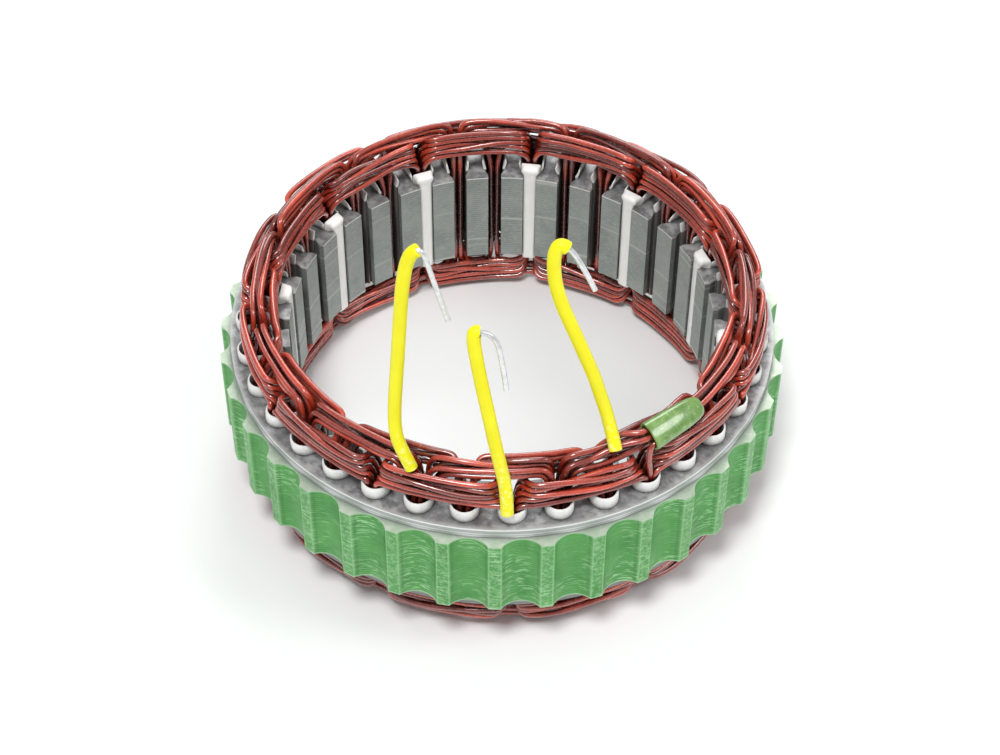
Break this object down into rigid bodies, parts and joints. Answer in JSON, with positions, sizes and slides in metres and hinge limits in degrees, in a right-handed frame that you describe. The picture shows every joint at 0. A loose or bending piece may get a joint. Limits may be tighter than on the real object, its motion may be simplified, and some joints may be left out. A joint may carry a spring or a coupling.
{
  "type": "wound stator",
  "caption": "Wound stator of a claw-pole generator: a fluted ring of steel laminations with lined slots, red enamelled coils, yellow sleeved leads and a star point.",
  "frame": {"origin": "on the machine's axis, in the lower face of the lamination stack, where the lower register begins", "axes": "+Z along the machine's axis towards the leads; -Y points to the slot that holds the middle lead; +X to the right of it"},
  "size_m": [0.127, 0.127, 0.1047],
  "materials": {
    "laminations": "sawn lamination edges, green lacquer on the fluted outside",
    "liner_paper": "matt slot paper",
    "wedge": "matt",
    "enamelled_wire": "glossy red enamel on copper",
    "lead_sleeving": "satin yellow sleeving",
    "tinned_wire": "tinned copper",
    "star_cap": "glossy green",
    "solder": "enamelled tails into solder"
  },
  "bodies": {
    "root": {"lamination_stack": "laminations", "slot_liner_01": "liner_paper", "slot_liner_02": "liner_paper", "slot_liner_03": "liner_paper", "slot_liner_04": "liner_paper", "slot_liner_05": "liner_paper", "slot_liner_06": "liner_paper", "slot_liner_07": "liner_paper", "slot_liner_08": "liner_paper", "slot_liner_09": "liner_paper", "slot_liner_10": "liner_paper", "slot_liner_11": "liner_paper", "slot_liner_12": "liner_paper", "slot_liner_13": "liner_paper", "slot_liner_14": "liner_paper", "slot_liner_15": "liner_paper", "slot_liner_16": "liner_paper", "slot_liner_17": "liner_paper", "slot_liner_18": "liner_paper", "slot_liner_19": "liner_paper", "slot_liner_20": "liner_paper", "slot_liner_21": "liner_paper", "slot_liner_22": "liner_paper", "slot_liner_23": "liner_paper", "slot_liner_24": "liner_paper", "slot_liner_25": "liner_paper", "slot_liner_26": "liner_paper", "slot_liner_27": "liner_paper", "slot_liner_28": "liner_paper", "slot_liner_29": "liner_paper", "slot_liner_30": "liner_paper", "slot_liner_31": "liner_paper", "slot_liner_32": "liner_paper", "slot_liner_33": "liner_paper", "slot_liner_34": "liner_paper", "slot_liner_35": "liner_paper", "slot_liner_36": "liner_paper", "slot_wedge_01": "wedge", "slot_wedge_02": "wedge", "slot_wedge_03": "wedge", "slot_wedge_04": "wedge", "slot_wedge_05": "wedge", "slot_wedge_06": "wedge", "slot_wedge_07": "wedge", "slot_wedge_08": "wedge", "slot_wedge_09": "wedge", "slot_wedge_10": "wedge", "slot_wedge_11": "wedge", "slot_wedge_12": "wedge", "phase_u_coils": "enamelled_wire", "phase_v_coils": "enamelled_wire", "phase_w_coils": "enamelled_wire", "lead_sleeve_1": "lead_sleeving", "lead_wire_1": "tinned_wire", "lead_sleeve_2": "lead_sleeving", "lead_wire_2": "tinned_wire", "lead_sleeve_3": "lead_sleeving", "lead_wire_3": "tinned_wire", "star_point_sleeve": "star_cap", "star_point_joint": "solder"}
  },
  "joints": []
}
